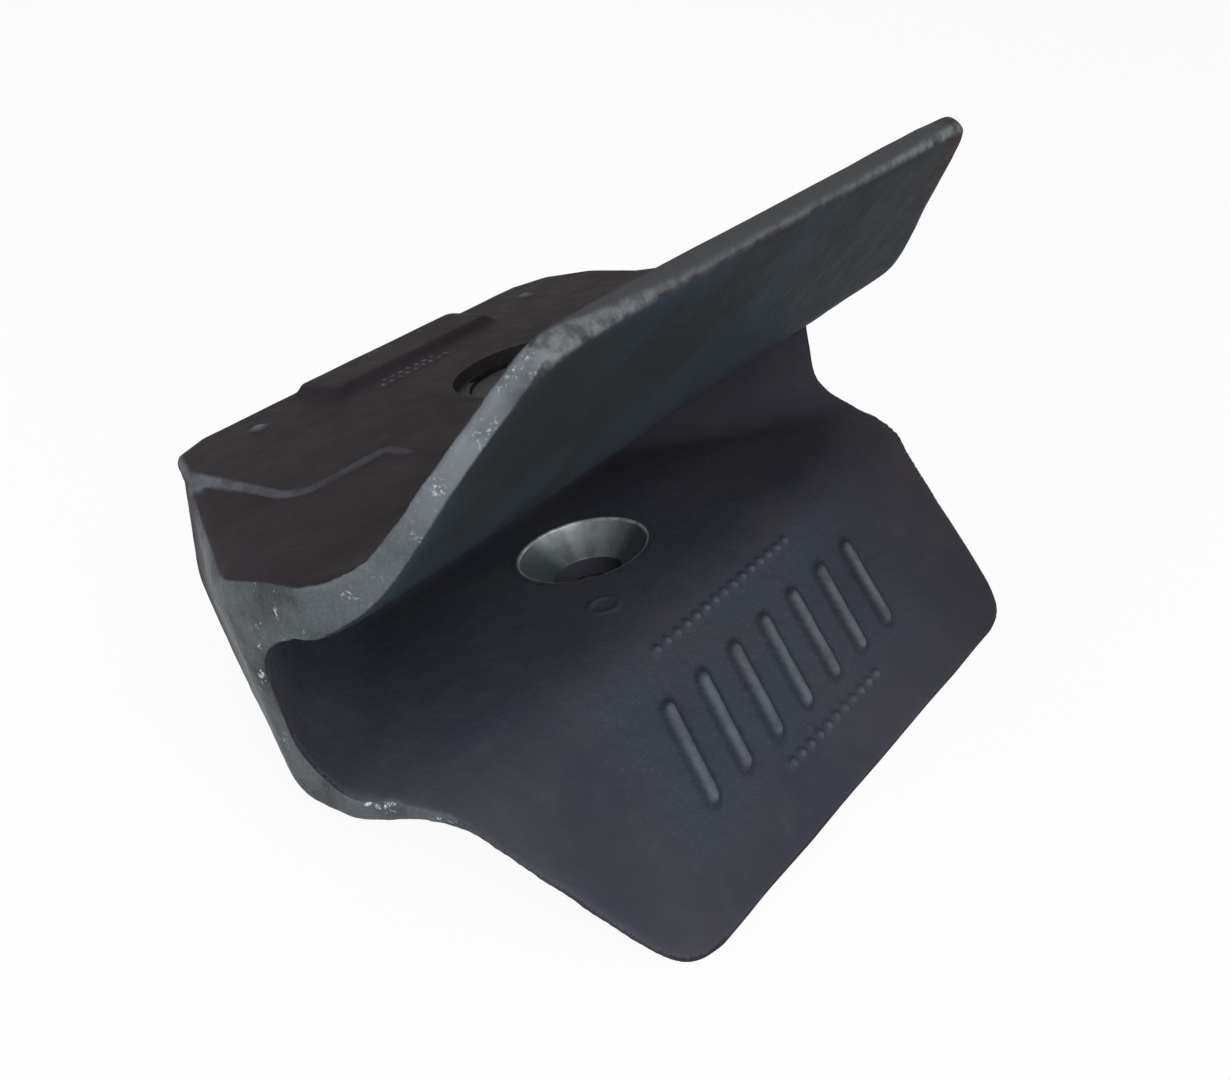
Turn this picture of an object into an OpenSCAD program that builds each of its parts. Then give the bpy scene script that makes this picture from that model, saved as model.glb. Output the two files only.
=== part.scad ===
// Lip shroud for an excavator bucket: a cast steel wear part that slides over the front lip
// between two teeth, with a conical pin seat in its lower wall and a turn lock in its upper wall.
// Frame: the origin is on the pin axis at the pocket floor. +X points out of the pocket mouth,
// towards the bucket, +Y runs along the lip, and +Z points up along the pin.

/* [Lip pocket] */
// Thickness of the bucket lip
lip_t = 56; // [52:1:60]
// Gap between the lip and each pocket face
lip_gap = 0.8; // [0.4:0.1:1.2]
// Distance from the pin axis to the back wall of the pocket
pocket_depth = 64; // [60:1:68]
// Distance from the pin axis to the rear edge of each cheek
cheek_x = 19; // [16:1:24]
// Angle of the pocket's side walls to the direction of travel
pocket_flare = 39; // [35:1:42]
// Radius inside the pocket's corners
pocket_r = 20; // [14:1:22]

/* [Body] */
// Width over the cheeks
body_w = 305; // [298:1:312]
// Distance from the pin axis to the nose
nose_reach = 97; // [93:1:104]
// Width of the wing at the nose
nose_w = 230; // [220:2:240]
// Height of the wing edge at the nose
nose_edge_h = 10; // [8:1:14]
// Height of the wing edge's middle at the nose
nose_edge_z = 26; // [24:1:32]
// Thickness of the wall over the pocket at the pin
top_wall = 20.8; // [20:0.2:23]
// Thickness of the wall under the pocket at the pin
bottom_wall = 19.6; // [18.6:0.2:21.4]
// Thickness of the upper wing at the cheeks
upper_wing_t = 15; // [13:0.5:16]
// Thickness of the lower wing at the cheeks
lower_wing_t = 8.4; // [8:0.2:12]

/* [Wear pad] */
// Width of the top wear pad at the nose
pad_w = 221; // [212:1:226]
// Width of the pad's stem round the lock
stem_w = 146; // [124:2:154]
// Height of the pad above the wing
pad_step = 3.2; // [2.4:0.2:4]
// Length of the raised bar at the nose
bar_l = 96; // [84:2:124]
// Width of the raised bar
bar_w = 36; // [24:1:40]
// Height of the raised bar
bar_h = 3.6; // [3:0.2:6]

/* [Legs] */
// Angle of both legs to the lip
leg_angle = 48; // [45:1:51]
// Distance from the pin axis to the bend of the legs
leg_root_x = 62.5; // [58:0.5:66]
// Distance from the pin axis to the end of the upper leg
upper_reach = 128; // [122:1:132]
// Distance from the pin axis to the end of the lower leg
lower_reach = 124.5; // [118:0.5:130]
// Width of the legs at the end of the upper leg
leg_end_w = 221; // [206:1:236]
// Radius inside the bend of the upper leg
upper_bend_r = 56; // [40:2:60]
// Radius inside the bend of the lower leg
lower_bend_r = 20; // [14:1:30]
// Thickness of the upper leg
upper_leg_t = 10; // [8:0.5:12]
// Thickness of the lower leg at its thin rim
lower_rim_t = 4.8; // [4.4:0.2:7]
// Depth of the thick field under the lower leg
under_leg_t = 4.6; // [3:0.2:6]
// Radius of the leg corners
leg_corner_r = 20; // [12:1:24]

/* [Pin seat] */
// Diameter of the lock pin
pin_d = 52; // [48:1:54]
// Radial gap round the lock pin
pin_gap = 0.3; // [0.2:0.05:0.5]
// Depth of the conical seat
seat_depth = 11; // [9:0.2:12]
// Diameter of the knock-out hole
knockout_d = 28; // [24:0.5:30]
// Outer diameter of the seat bush
seat_bush_d = 57.6; // [57.2:0.2:62]
// Height of the wide part of the seat bush
seat_bush_h = 13; // [12.5:0.5:15]
// Diameter of the seat bush's lower spigot
seat_spigot_d = 38; // [35:0.5:42]

/* [Turn lock] */
// Outer diameter of the lock bush
lock_bush_d = 63.2; // [62.6:0.2:68]
// Depth of the lock bush below the wear pad
lock_recess = 4; // [3:0.5:5]
// Thickness of the ledge under the lock bush
lock_ledge_t = 1.6; // [1.2:0.2:2.4]
// Reach of each bayonet lug past the cap
lug_reach = 2.4; // [1.8:0.2:2.8]
// Height of each bayonet lug
lug_h = 5; // [4:0.2:5.4]
// Arc that each bayonet lug covers
lug_arc = 44; // [36:1:50]
// Gap round the cap and its lugs
lock_gap = 0.3; // [0.2:0.05:0.4]
// Angle that the cap turns through
lock_turn = 90; // [80:1:95]
// Width across flats of the hex socket
socket_af = 22; // [19:1:24]
// Depth of the hex socket
socket_depth = 7; // [5.5:0.5:7.5]
// Section diameter of the seal ring
seal_d = 3; // [2.4:0.2:3.2]
// Thickness of the press pad under the cap
press_pad_t = 2; // [1.6:0.2:2.4]
// Diameter of the dowel that keys the lock bush
dowel_d = 6; // [4:0.5:6]
// Length of the dowel
dowel_l = 9; // [7:0.5:11]

/* [Hidden] */
$fn = 64;
eps = 0.01;
pocket_h = lip_t + 2 * lip_gap;
half_w = body_w / 2;
top_z = pocket_h + top_wall;
keel_z = -bottom_wall;
wing_top_z = pocket_h + upper_wing_t;
block_x = cheek_x + pocket_r / sin(pocket_flare);
wing_x = cheek_x + 5;
upper_taper_x = leg_root_x - 10;
lower_taper_x = leg_root_x - 26;
rear_edge_x = -2;
nose_wing_x = nose_reach - 10;
pad_rise = tan(9);
bend_cut = 6;
nub_x = -76;
nub_y = 74;
nub_d = 4.8;
nub_h = 1.6;
chamfer = 2.4;

// Wing edge at the nose, from its lower corner to its upper one
edge_low_z = nose_edge_z - nose_edge_h / 2;
edge_high_z = nose_edge_z + nose_edge_h / 2;

// Legs: half width at a distance x from the pin axis for a taper that starts at taper_x,
// and length from the bend to that distance
function leg_half_w(x, taper_x) =
    half_w - (half_w - leg_end_w / 2) * (x - taper_x) / (upper_reach - taper_x);
function leg_length(x) = (x - leg_root_x) / cos(leg_angle);

// Pin bore and lock
seat_r = pin_d / 2 + pin_gap;
knockout_r = knockout_d / 2;
seat_edge = 0.6;
bush_inset = 0.4;
lock_bush_bottom = pocket_h + lock_ledge_t;
lock_bush_top = top_z - lock_recess;
cap_r = seat_r - lock_gap;
cap_inset = 1.4;
cap_top = lock_bush_top - cap_inset;
lug_z = lock_bush_top - 3.4 - lug_h;
groove_r = cap_r + lug_reach + lock_gap;
groove_z = lug_z - lock_gap;
groove_h = lug_h + 2 * lock_gap;
stop_arc = 3;
seal_gap = 0.1;
cap_bottom = pocket_h + bush_inset + press_pad_t;
seal_z = cap_bottom + seal_d / 2 + 1.4;
seal_ring_r = seat_r - seal_gap - seal_d / 2;
plug_gap = 0.2;
dowel_angle = -45;

// Outlines are lists of [x, y, radius], and rounded() turns each radius into an arc
function unit(v) = v / norm(v);
function turn(a, b) = let (d = b - a) d > 180 ? d - 360 : d < -180 ? d + 360 : d;
function arc(before, corner, after, r, steps) =
    let (u = unit(before - corner), v = unit(after - corner),
         half = acos(u * v) / 2,
         centre = corner + unit(u + v) * r / sin(half),
         first = corner + u * r / tan(half) - centre,
         last = corner + v * r / tan(half) - centre,
         a = atan2(first[1], first[0]),
         sweep = turn(a, atan2(last[1], last[0])))
    [for (i = [0:steps]) centre + r * [cos(a + sweep * i / steps), sin(a + sweep * i / steps)]];
function flat(p) = [p[0], p[1]];
function rounded(points, steps = 6) =
    let (n = len(points))
    [for (i = [0:n - 1])
        let (p = points[i])
        each (p[2] > 0
            ? arc(flat(points[(i + n - 1) % n]), flat(p), flat(points[(i + 1) % n]), p[2], steps)
            : [flat(p)])];

// A half outline on +Y, closed by its mirror image on -Y
function both_sides(half) =
    concat(half, [for (i = [len(half) - 1:-1:0]) [half[i][0], -half[i][1], half[i][2]]]);

// A side profile given as [x, z, radius], run across the whole width
module across(profile, w) {
    rotate([90, 0, 0])
        linear_extrude(w, center = true)
            polygon(rounded(profile));
}

// A plan outline given as [x, y, radius], from height z upwards
module slab(outline, z, h) {
    translate([0, 0, z])
        linear_extrude(h)
            polygon(rounded(outline));
}

// Plan outline of the body
wing_plan = both_sides([
    [-nose_reach + 4, nose_w / 2 - 18, 8],
    [-nose_wing_x, nose_w / 2 - 2, 16],
    [cheek_x - 10, half_w, 32],
    [block_x, half_w, 0]
]);

// Plan outline that limits the legs, which taper from taper_x on
function leg_plan(taper_x) = both_sides([
    [-nose_reach - 10, half_w, 0],
    [taper_x, half_w, 20],
    [upper_reach + 40, leg_half_w(upper_reach + 40, taper_x), 0]
]);

// Plan outline of the top wear pad's front part
pad_plan = both_sides([
    [-nose_reach, pad_w / 2 - 24, 4],
    [-nose_reach + 7, pad_w / 2 - 9, 6],
    [-nose_reach + 28, pad_w / 2, 12],
    [rear_edge_x, pad_w / 2, 10],
    [rear_edge_x, stem_w / 2 - 4, 0]
]);

module wing_block() {
    // The body between the pad, the wing's edge and the keel, widest at the edge
    hull() {
        slab(both_sides([for (p = pad_plan) if (p[1] > 0) p]), top_z - pad_step - eps, eps);
        intersection() {
            across([
                [-nose_reach, edge_low_z, 0],
                [-nose_reach, edge_high_z, 0],
                [cheek_x, wing_top_z, 0],
                [block_x, wing_top_z + pad_rise * (block_x - cheek_x), 0],
                [block_x, -lower_wing_t, 0],
                [cheek_x, -lower_wing_t, 0]
            ], body_w);
            slab(wing_plan, -2 * lower_wing_t, 2 * wing_top_z);
        }
        slab(both_sides([[-nose_reach + 5, nose_w / 2 - 22, 8], [-50, nose_w / 2 - 22, 0]]), 8, eps);
        slab(both_sides([[-nose_reach + 21, 80, 8], [cheek_x, 60, 0]]), keel_z, eps);
    }
}

module keel() {
    // The boss under the pocket that holds the seat bush
    r = seat_bush_d / 2 + 6;
    hull() {
        slab(both_sides([[-nose_reach + 30, r + 26, 8], [r, r, 12]]), keel_z, eps);
        slab(both_sides([[-nose_reach + 30, r + 36, 8], [r + 10, r + 12, 12]]), -lower_wing_t + 1, eps);
    }
}

module pad_front() {
    hull() {
        slab(pad_plan, top_z - eps, eps);
        translate([0, 0, -pad_step])
            scale([1, 1 + 2 * chamfer / pad_w, 1])
                slab(pad_plan, top_z - eps, eps);
    }
}

module pad_stem() {
    // Runs back round the lock and into the root of the upper leg
    hull() {
        slab(both_sides([[-30, stem_w / 2, 0], [leg_root_x + 4, stem_w / 2, 0]]), top_z - eps, eps);
        slab(both_sides([[-30, stem_w / 2 + chamfer, 0], [leg_root_x + 4, stem_w / 2 + chamfer, 0]]),
             wing_top_z - pad_step, eps);
    }
}

module nose_bar() {
    // The raised bar that meets the ground first
    x = -nose_reach - 0.4;
    hull() {
        slab(both_sides([[x + 5, bar_l / 2 - 6, 3], [x + bar_w - 6, bar_l / 2 - 6, 3]]),
             top_z + bar_h - eps, eps);
        slab(both_sides([[x + 0.4, bar_l / 2, 3], [x + bar_w, bar_l / 2, 3]]), top_z - 4, eps);
    }
}

// Where the flat top of a wing meets the outer face of a leg of thickness t
function outer_root(z, t, rise) =
    let (drop = t / cos(leg_angle),
         x = (rise * cheek_x - z + drop - tan(leg_angle) * leg_root_x) / (rise - tan(leg_angle)))
    [x, z + rise * (x - cheek_x)];

module upper_wing() {
    root = outer_root(upper_wing_t, upper_leg_t, pad_rise);
    leg_end_z = (upper_reach - leg_root_x) * tan(leg_angle);
    translate([0, 0, pocket_h])
        across([
            [wing_x, 0, 0],
            [leg_root_x, 0, upper_bend_r],
            [upper_reach, leg_end_z, 2],
            [upper_reach - upper_leg_t * sin(leg_angle), leg_end_z + upper_leg_t * cos(leg_angle), 5],
            [root[0], root[1], 28],
            [wing_x, upper_wing_t + pad_rise * (wing_x - cheek_x), 0]
        ], body_w);
}

module lower_wing() {
    root = outer_root(lower_wing_t, lower_rim_t, 0);
    leg_end_z = (lower_reach - leg_root_x) * tan(leg_angle);
    across([
        [wing_x, 0, 0],
        [leg_root_x, 0, lower_bend_r],
        [lower_reach, -leg_end_z, 2],
        [lower_reach - lower_rim_t * sin(leg_angle), -leg_end_z - lower_rim_t * cos(leg_angle), 2.5],
        [root[0], -root[1], 24],
        [wing_x, -lower_wing_t, 0]
    ], body_w);
}

// The space inside the bend of a leg that ends at reach, with z = 0 as the pocket's ceiling
module bend_space(reach, bend_r) {
    leg_end = [reach, (reach - leg_root_x) * tan(leg_angle)];
    bend = arc([wing_x, 0], [leg_root_x, 0], leg_end, bend_r, 6);
    low = [reach + 5, -bend_cut];
    across([for (p = concat(bend, [leg_end, low, bend[0] + [bend_cut, -bend_cut]])) [p[0], p[1], 0]],
           body_w + 2);
}

// Cutters square to a leg's face that round its two end corners, for a leg that ends at reach
module leg_corner_cuts(reach, taper_x) {
    corner = [leg_length(reach), leg_half_w(reach, taper_x)];
    back = [corner[0] - 45, leg_half_w(reach - 45 * cos(leg_angle), taper_x)];
    round_end = arc(back, corner, [corner[0], 0], leg_corner_r, 8);
    last = round_end[len(round_end) - 1];
    rotate([0, -leg_angle, 0])
        for (side = [0, 1])
            mirror([0, side, 0])
                translate([0, 0, -20])
                    linear_extrude(60)
                        polygon(concat([back + [0, 4]], round_end,
                            [last + [10, 0], corner + [10, 40], [back[0], corner[1] + 40]]));
}

module under_leg_field() {
    // Thick field under the lower leg, bevelled down to the thin rim all round
    rotate([0, leg_angle, 0])
        hull() {
            slab(both_sides([
                [-18, leg_half_w(leg_root_x, lower_taper_x) - 14, 0],
                [leg_length(lower_reach) - 6, leg_half_w(lower_reach, lower_taper_x) - 7, leg_corner_r]
            ]), -lower_rim_t, eps);
            slab(both_sides([
                [-18, leg_half_w(leg_root_x, lower_taper_x) - 44, 0],
                [leg_length(lower_reach) - 22, leg_half_w(lower_reach, lower_taper_x) - 24, leg_corner_r]
            ]), -lower_rim_t - under_leg_t, eps);
        }
}

module leg_limits() {
    slab(leg_plan(upper_taper_x), pocket_h / 2 - 1, 200);
    slab(leg_plan(lower_taper_x), -200, 200 + pocket_h / 2);
}

module pocket() {
    // The space for the lip: a wedge in plan, open behind the cheeks, with round corners inside
    back_x = -pocket_depth + pocket_r;
    mouth_x = leg_root_x + 30;
    function centre_y(x) = half_w + (x - cheek_x) * tan(pocket_flare) - pocket_r / cos(pocket_flare);
    hull() {
        for (x = [back_x, mouth_x], side = [-1, 1], z = [pocket_r, pocket_h - pocket_r])
            translate([x, side * centre_y(x), z])
                sphere(pocket_r, $fn = 32);
        slab(both_sides([[back_x, centre_y(back_x), 0], [mouth_x, centre_y(mouth_x), 0]]), 0, pocket_h);
    }
}

// Ring sector prism, from one angle over an arc
module sector(r, from, sweep, z, h) {
    translate([0, 0, z])
        intersection() {
            cylinder(h, r = r);
            linear_extrude(h)
                polygon(concat([[0, 0]],
                    [for (i = [0:4]) 2 * r * [cos(from + sweep * i / 4), sin(from + sweep * i / 4)]]));
        }
}

module seat_bush_envelope() {
    translate([0, 0, -seat_bush_h])
        cylinder(seat_bush_h, d = seat_bush_d);
    translate([0, 0, keel_z])
        cylinder(bottom_wall, d = seat_spigot_d);
}

// The hole in the upper wall: a wide bore down to the ledge, and a clear hole through the ledge
module lock_bush_hole() {
    translate([0, 0, lock_bush_bottom])
        cylinder(top_wall + 5, d = lock_bush_d);
    translate([0, 0, pocket_h - 1])
        cylinder(lock_ledge_t + 2, r = seat_r + 1.4);
}

module dowel(l) {
    rotate(dowel_angle)
        translate([lock_bush_d / 2, 0, lock_bush_top - dowel_l])
            cylinder(l, d = dowel_d);
}

module shroud_casting() {
    color([0.13, 0.13, 0.15])
        difference() {
            intersection() {
                union() {
                    wing_block();
                    keel();
                    pad_front();
                    pad_stem();
                    nose_bar();
                    upper_wing();
                    lower_wing();
                    translate([leg_root_x, 0, 0])
                        under_leg_field();
                    for (side = [-1, 1])
                        translate([nub_x, side * nub_y, top_z - 1])
                            cylinder(1 + nub_h, d = nub_d);
                }
                leg_limits();
            }
            pocket();
            translate([0, 0, pocket_h]) {
                bend_space(upper_reach, upper_bend_r);
                translate([leg_root_x, 0, 0])
                    leg_corner_cuts(upper_reach, upper_taper_x);
            }
            mirror([0, 0, 1]) {
                bend_space(lower_reach, lower_bend_r);
                translate([leg_root_x, 0, 0])
                    leg_corner_cuts(lower_reach, lower_taper_x);
            }
            seat_bush_envelope();
            translate([0, 0, keel_z - 5])
                cylinder(10, d = seat_spigot_d);
            lock_bush_hole();
            dowel(dowel_l + lock_recess + 5);
        }
}

module lower_seat_bush() {
    color([0.55, 0.58, 0.56])
        difference() {
            union() {
                translate([0, 0, -seat_bush_h])
                    cylinder(seat_bush_h, d = seat_bush_d);
                translate([0, 0, keel_z + bush_inset])
                    cylinder(bottom_wall - bush_inset - 1, d = seat_spigot_d);
            }
            translate([0, 0, -seat_depth])
                cylinder(seat_depth, knockout_r, seat_r);
            translate([0, 0, -seat_edge])
                cylinder(2 * seat_edge, seat_r - seat_edge, seat_r + seat_edge);
            translate([0, 0, keel_z - 1])
                cylinder(bottom_wall, r = knockout_r);
        }
}

module upper_lock_bush() {
    color([0.2, 0.2, 0.22])
        difference() {
            translate([0, 0, lock_bush_bottom])
                cylinder(lock_bush_top - lock_bush_bottom, d = lock_bush_d);
            translate([0, 0, pocket_h])
                cylinder(top_wall, r = seat_r);
            for (turned = [0, 180]) {
                sector(groove_r, turned - lug_arc / 2 - stop_arc, lock_turn + lug_arc + 2 * stop_arc,
                       groove_z, groove_h);
                sector(groove_r, turned - lug_arc / 2 - stop_arc, lug_arc + 2 * stop_arc,
                       groove_z, top_z - groove_z);
            }
            dowel(dowel_l + 1);
        }
}

module bush_dowel() {
    color([0.5, 0.5, 0.5])
        dowel(dowel_l);
}

module lock_cap() {
    color([0.3, 0.3, 0.31])
        difference() {
            union() {
                translate([0, 0, cap_bottom])
                    cylinder(cap_top - cap_bottom, r = cap_r);
                for (turned = [0, 180])
                    sector(cap_r + lug_reach, turned + lock_turn - lug_arc / 2, lug_arc, lug_z, lug_h);
            }
            translate([0, 0, cap_top - socket_depth])
                cylinder(socket_depth + 1, r = socket_af / 2 / cos(30), $fn = 6);
            translate([0, 0, seal_z - seal_d / 2 - 2 * seal_gap])
                difference() {
                    cylinder(seal_d + 4 * seal_gap, r = seat_r + 1);
                    translate([0, 0, -1])
                        cylinder(seal_d + 2, r = seal_ring_r - seal_d / 2 - seal_gap);
                }
        }
}

module cap_seal() {
    color([0.05, 0.05, 0.05])
        rotate_extrude()
            translate([seal_ring_r, seal_z])
                circle(d = seal_d);
}

module press_pad() {
    color([0.1, 0.1, 0.1])
        translate([0, 0, cap_bottom - press_pad_t])
            cylinder(press_pad_t, r = cap_r - 5);
}

module socket_plug() {
    color([0.08, 0.08, 0.08])
        translate([0, 0, cap_top - socket_depth])
            cylinder(socket_depth - plug_gap, r = (socket_af / 2 - plug_gap) / cos(30), $fn = 6);
}

shroud_casting();
lower_seat_bush();
upper_lock_bush();
bush_dowel();
lock_cap();
cap_seal();
press_pad();
socket_plug();
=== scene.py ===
# %% [markdown]
# # A lip shroud for an excavator bucket
# A lip shroud is a heavy cast steel shoe. It slides over the edge of a digging bucket between
# two teeth and takes the wear there. A lock pin goes down through the bucket's lip and sits in a
# steel cone in the shroud's lower wall, and a quarter-turn cap in the upper wall holds it in.
# This notebook dresses the engineering model of such a shroud: every cell makes one piece or one
# finish, and says why it is made that way.

# %% Load the frame
import math

import bmesh
import bpy
import numpy as np
from mathutils import Matrix, Vector, noise


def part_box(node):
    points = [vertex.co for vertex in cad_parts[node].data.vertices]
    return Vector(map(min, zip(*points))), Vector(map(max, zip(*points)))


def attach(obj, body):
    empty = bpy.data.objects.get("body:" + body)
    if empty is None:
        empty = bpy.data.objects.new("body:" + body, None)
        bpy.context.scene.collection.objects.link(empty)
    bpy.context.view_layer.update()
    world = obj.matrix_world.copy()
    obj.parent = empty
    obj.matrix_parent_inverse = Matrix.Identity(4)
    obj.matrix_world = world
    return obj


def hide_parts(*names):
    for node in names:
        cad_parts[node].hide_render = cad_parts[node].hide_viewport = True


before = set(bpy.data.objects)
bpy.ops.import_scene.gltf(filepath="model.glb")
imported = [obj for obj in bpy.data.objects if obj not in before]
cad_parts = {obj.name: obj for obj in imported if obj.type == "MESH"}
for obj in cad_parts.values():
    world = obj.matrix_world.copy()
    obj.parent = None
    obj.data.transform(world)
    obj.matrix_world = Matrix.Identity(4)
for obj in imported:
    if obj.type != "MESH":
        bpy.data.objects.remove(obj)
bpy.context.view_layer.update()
MM = 0.001
print("nodes:", sorted(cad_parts))

# %% [markdown]
# ## The camera
# The camera is a lens of about 36 mm on a 36 mm wide sensor, held above one end of the shroud's
# mouth and rolled a little. Its three axes are written out, because a turned camera is easier to
# check that way than as three angles. The small errors of rounding are taken out by building
# the axes again from two of them.

# %% Camera
eye = Vector((324.4, -295.8, 210.9)) * MM
view_back = Vector((0.6469, -0.6279, 0.4328)).normalized()
view_right = Vector((-0.1381, 0.4617, 0.8762)).cross(view_back).normalized()
view_up = view_back.cross(view_right)
lens = bpy.data.cameras.new("view_camera")
lens.sensor_width = 36
lens.lens = 35.59
lens.clip_start = 0.01
camera = bpy.data.objects.new("view_camera", lens)
bpy.context.scene.collection.objects.link(camera)
turned = Matrix((view_right, view_up, view_back)).transposed()
camera.matrix_world = Matrix.Translation(eye) @ turned.to_4x4()
bpy.context.scene.camera = camera
print("camera at", tuple(round(v, 3) for v in eye))

# %% [markdown]
# ## The casting
# A sand casting has no sharp edge and no true flat. The engineering model has both, so its mesh
# is only the start. The holes for the bushes are plugged first, the mesh is rebuilt in even
# squares of about 1 mm, smoothed until the edges are round, and given the slow lumps of a sand
# mould. The holes are cut again at the end, so that they stay true circles.

# %% Mesh helpers
def show(name, mesh):
    piece = bpy.data.objects.new(name, mesh)
    bpy.context.scene.collection.objects.link(piece)
    return piece


def copy_of_node(node, name):
    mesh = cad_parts[node].data.copy()
    mesh.name = name
    mesh.materials.clear()
    work = bmesh.new()
    work.from_mesh(mesh)
    bmesh.ops.remove_doubles(work, verts=work.verts, dist=1e-6)
    work.to_mesh(mesh)
    work.free()
    return show(name, mesh)


def settle(piece):
    """Keeps the shape that the modifiers make, and drops the modifiers."""
    graph = bpy.context.evaluated_depsgraph_get()
    made = bpy.data.meshes.new_from_object(piece.evaluated_get(graph))
    before = piece.data
    piece.modifiers.clear()
    piece.data = made
    bpy.data.meshes.remove(before)
    made.name = piece.name
    return made


# %% Sizes read from the frame
seat_low, seat_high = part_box("lower_seat_bush")
bush_low, bush_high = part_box("upper_lock_bush")
seat_bush_r, keel = seat_high.x / MM, seat_low.z / MM
lock_bush_r, lock_bush_low = bush_high.x / MM, bush_low.z / MM


def wall_heights(x):
    """Heights at which a plumb line at (x, 0) passes through the casting's surfaces."""
    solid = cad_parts["shroud_casting"]
    found, height = [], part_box("shroud_casting")[1].z + 0.01
    while True:
        hit, spot, _, _ = solid.ray_cast(Vector((x * MM, 0, height)), Vector((0, 0, -1)))
        if not hit:
            return found
        found.append(spot.z / MM)
        height = spot.z - 1e-5


pad_top, pocket_top = wall_heights(-lock_bush_r - 3)[:2]
print("the upper wall runs from", round(pocket_top, 1), "to", round(pad_top, 1), "mm")
print("seat bush radius", round(seat_bush_r, 1), "lock bush radius", round(lock_bush_r, 1))

# %% Plug the holes and rebuild the mesh
square = 1.15


def plugged_casting():
    piece = copy_of_node("shroud_casting", "cast_body")
    work = bmesh.new()
    work.from_mesh(piece.data)
    for radius, low, high in ((seat_bush_r + 1, keel, 0), (lock_bush_r + 4, pocket_top, pad_top)):
        bmesh.ops.create_cone(work, cap_ends=True, segments=96, radius1=radius * MM,
                              radius2=radius * MM, depth=(high - low) * MM,
                              matrix=Matrix.Translation((0, 0, (low + high) / 2 * MM)))
    work.to_mesh(piece.data)
    work.free()
    rebuild = piece.modifiers.new("even_squares", "REMESH")
    rebuild.mode = "VOXEL"
    rebuild.voxel_size = square * MM
    smooth = piece.modifiers.new("round_edges", "SMOOTH")
    smooth.factor = 0.5
    smooth.iterations = 8
    settle(piece)
    return piece


casting = plugged_casting()
print("casting:", len(casting.data.vertices), "points")

# %% [markdown]
# ## Rounder edges
# Cast edges are never sharp. Averaging each point with its neighbours, again and again, rounds
# them and leaves flat walls as they are. A weight keeps this off the fine steps on top. The
# corners of the upper leg stand out furthest and are knocked, so they get more rounds, and so do
# the side edges of the lower leg and its bend.

# %% Points as arrays
def vertex_places(mesh):
    places = np.empty(len(mesh.vertices) * 3)
    mesh.vertices.foreach_get("co", places)
    return places.reshape(-1, 3)


def vertex_normals(mesh):
    normals = np.empty(len(mesh.vertices) * 3)
    mesh.vertex_normals.foreach_get("vector", normals)
    return normals.reshape(-1, 3)


def write_places(mesh, places):
    mesh.vertices.foreach_set("co", places.ravel())
    mesh.update()


# %% Smoothing
def neighbour_mean(values, edges, count):
    """For every point, the mean of a value over the points it shares an edge with."""
    flat = values.reshape(count, -1)
    total = np.empty_like(flat)
    for k in range(flat.shape[1]):
        total[:, k] = (np.bincount(edges[:, 0], flat[edges[:, 1], k], count)
                       + np.bincount(edges[:, 1], flat[edges[:, 0], k], count))
    ties = np.maximum(np.bincount(edges.ravel(), minlength=count), 1)
    return (total / ties[:, None]).reshape(values.shape)


def edges_of(mesh):
    edges = np.empty(len(mesh.edges) * 2, dtype=np.int64)
    mesh.edges.foreach_get("vertices", edges)
    return edges.reshape(-1, 2)


def rise(values, low, high):
    """Goes smoothly from 0 at `low` to 1 at `high`."""
    t = np.clip((values - low) / (high - low), 0, 1)
    return t * t * (3 - 2 * t)


def soften(mesh, weight, rounds):
    """Draws each point towards its neighbours by a share from 0 to 1, round after round."""
    places, edges = vertex_places(mesh), edges_of(mesh)
    edges = edges[(weight > 0)[edges].any(axis=1)]
    used, edges = np.unique(edges, return_inverse=True)
    part, edges, share = places[used], edges.reshape(-1, 2), weight[used][:, None]
    for _ in range(rounds):
        part += share * (neighbour_mean(part, edges, len(part)) - part)
    places[used] = part
    write_places(mesh, places)


# %% Rounder edges and leg corners
x, y, z = vertex_places(casting.data).T / MM
on_pad = rise(z, pocket_top + 3, pocket_top + 7) * rise(120 - np.abs(y), 0, 8)
on_pad *= rise(52 - x, 0, 12)
soften(casting.data, 0.5 * (1 - on_pad), rounds=14)
upper_corners = rise(z, 84, 100) * rise(np.abs(y), 82, 96)
soften(casting.data, upper_corners, rounds=14)
lower_edges = rise(x, 60, 70) * rise(-z, 4, 12) * rise(np.abs(y), 94, 104)
soften(casting.data, lower_edges, rounds=18)
facing_up = vertex_normals(casting.data)[:, 2] > 0.3
bend = rise(x, 40, 52) * rise(92 - x, 0, 16) * rise(6 - z, 0, 4) * rise(146 - np.abs(y), 0, 12)
soften(casting.data, bend * facing_up, rounds=60)
print("edges rounded")

# %% [markdown]
# ## Where the paint has worn
# Paint goes first from outer edges. How sharply the surface turns is measured at every point:
# a point that stands out from the mean of its neighbours is on an outer edge. The squares are
# even at this stage, so the measure is the same everywhere. It is stored on the mesh, where the
# material reads it, and it is carried along when the mesh is thinned.

# %% Edge measure
def keep_mark(mesh, name, values):
    """Stores one number for every point, where a material can read it by name."""
    mark = mesh.attributes.get(name) or mesh.attributes.new(name, "FLOAT", "POINT")
    mark.data.foreach_set("value", np.asarray(values, dtype=np.float32))


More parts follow.
